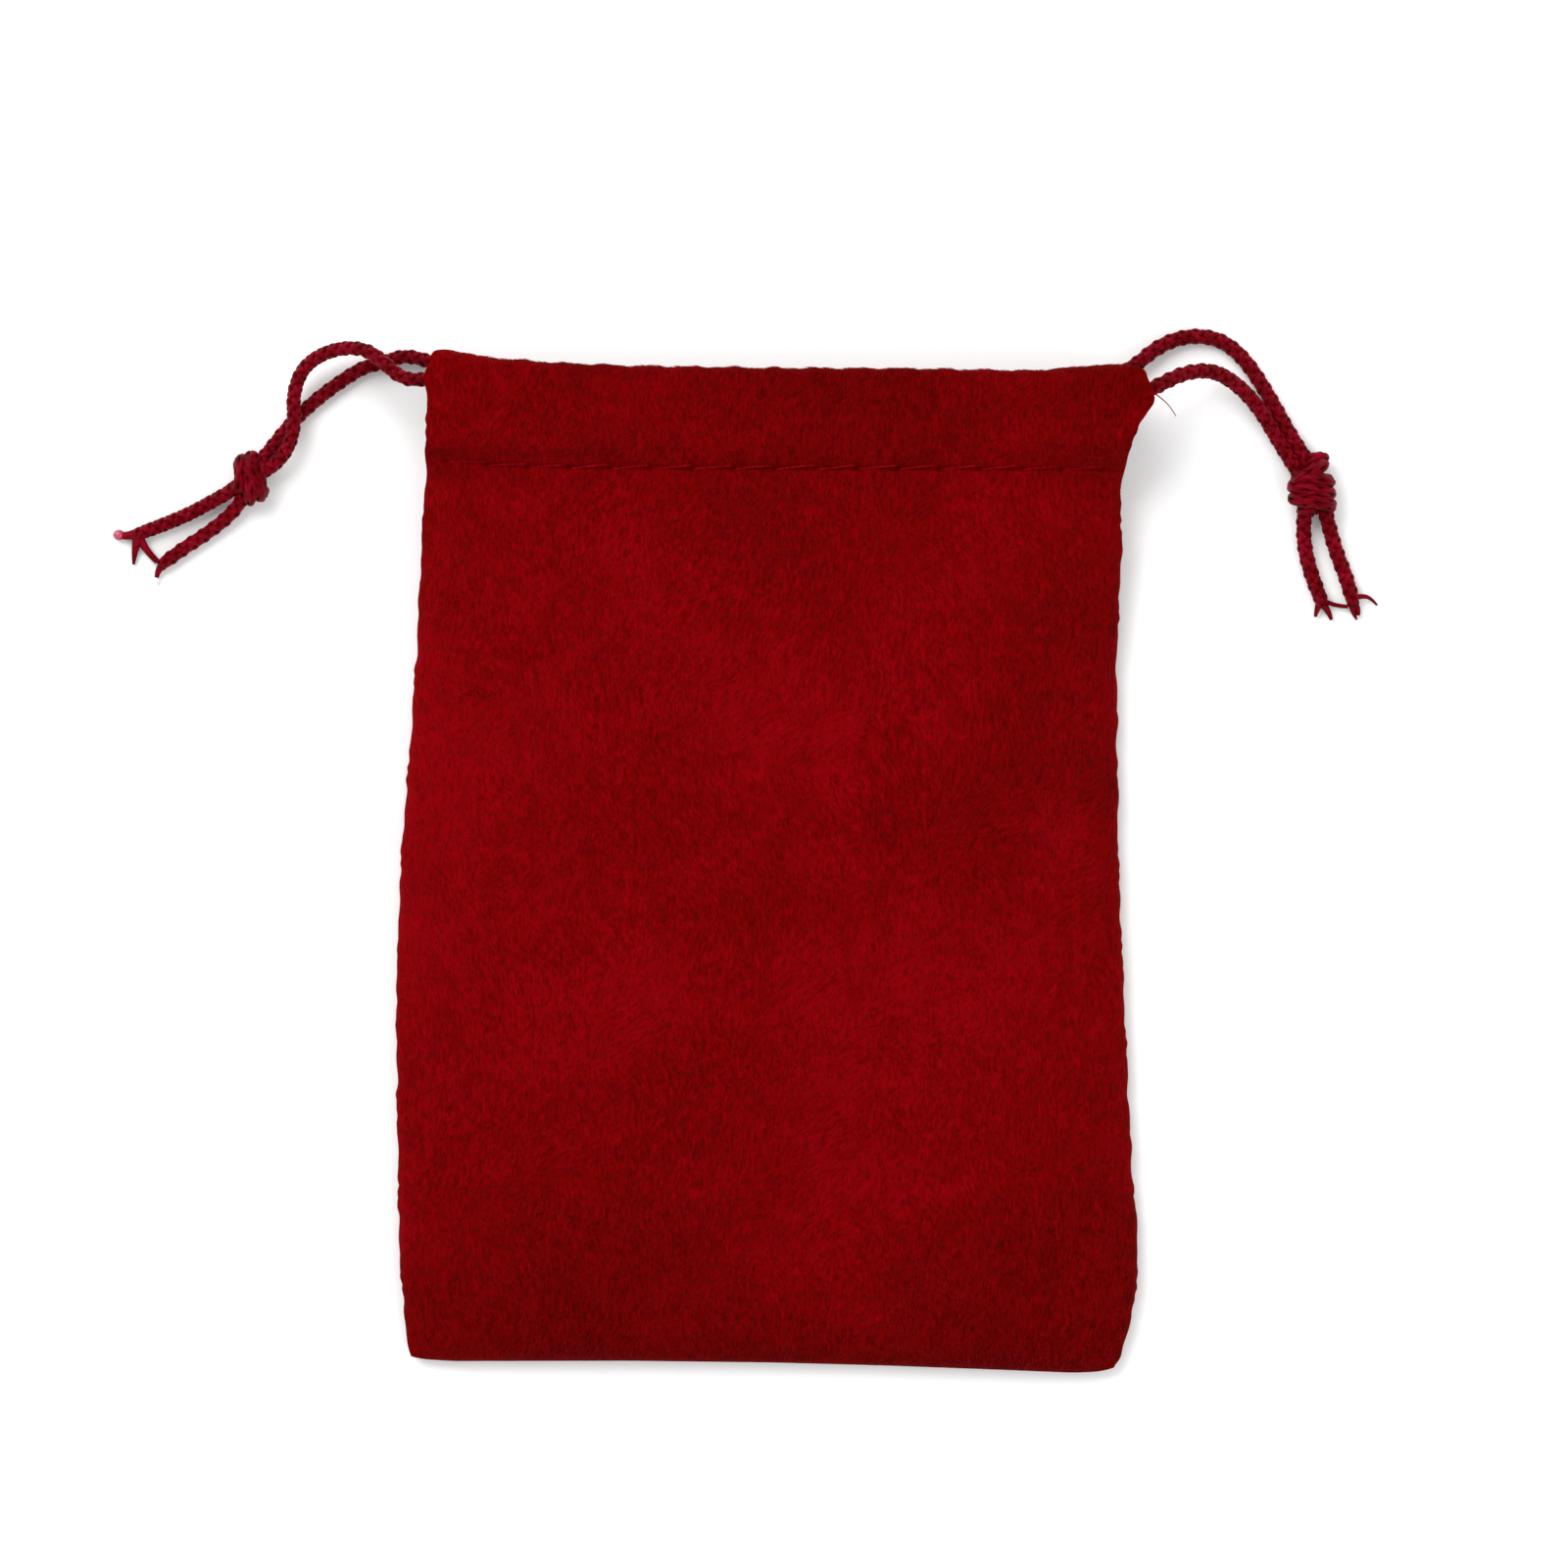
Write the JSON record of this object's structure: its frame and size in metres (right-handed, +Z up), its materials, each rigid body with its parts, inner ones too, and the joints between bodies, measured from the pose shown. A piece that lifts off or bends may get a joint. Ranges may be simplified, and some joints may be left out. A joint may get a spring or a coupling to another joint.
{
  "type": "drawstring gift sack",
  "caption": "Flat velvet gift sack with a turned-in hem at its mouth and drawcords that come out at both sides and end in knots.",
  "frame": {"origin": "middle of the bag's box, on the surface it lies on, without the free cords", "axes": "+Z up from that surface, +Y towards the mouth, +X to the right seen from above"},
  "size_m": [0.1707, 0.143, 0.013],
  "materials": {
    "velvet": "deep red flannel-backed velvet, short pile",
    "seam_allowance": "raw inner side of the velvet",
    "sewing_thread": "twisted polyester thread",
    "cord": "satin braided nylon cord",
    "cord_knot": "satin braided nylon cord, tied"
  },
  "bodies": {
    "sack": {"front_panel": "velvet", "back_panel": "velvet", "front_channel": "velvet", "back_channel": "velvet", "left_side_seam": "seam_allowance", "right_side_seam": "seam_allowance", "bottom_seam": "seam_allowance", "front_hem_stitching": "sewing_thread", "back_hem_stitching": "sewing_thread", "left_seam_stitching": "sewing_thread", "right_seam_stitching": "sewing_thread", "bottom_seam_stitching": "sewing_thread"},
    "left_cord": {"left_cord_channel_run": "cord", "left_cord_front_strand": "cord", "left_cord_back_strand": "cord", "left_knot": "cord_knot", "left_front_tail": "cord", "left_back_tail": "cord"},
    "right_cord": {"right_cord_channel_run": "cord", "right_cord_front_strand": "cord", "right_cord_back_strand": "cord", "right_knot": "cord_knot", "right_front_tail": "cord", "right_back_tail": "cord"}
  },
  "joints": [
    {"name": "left_cord_pull", "type": "slide", "parent": "sack", "child": "left_cord", "axis": [-1, 0, 0], "range_m": [0, 0.036], "deforming": ["front_channel", "back_channel"]},
    {"name": "right_cord_pull", "type": "slide", "parent": "sack", "child": "right_cord", "axis": [1, 0, 0], "range_m": [0, 0.036], "deforming": ["front_channel", "back_channel"]}
  ]
}
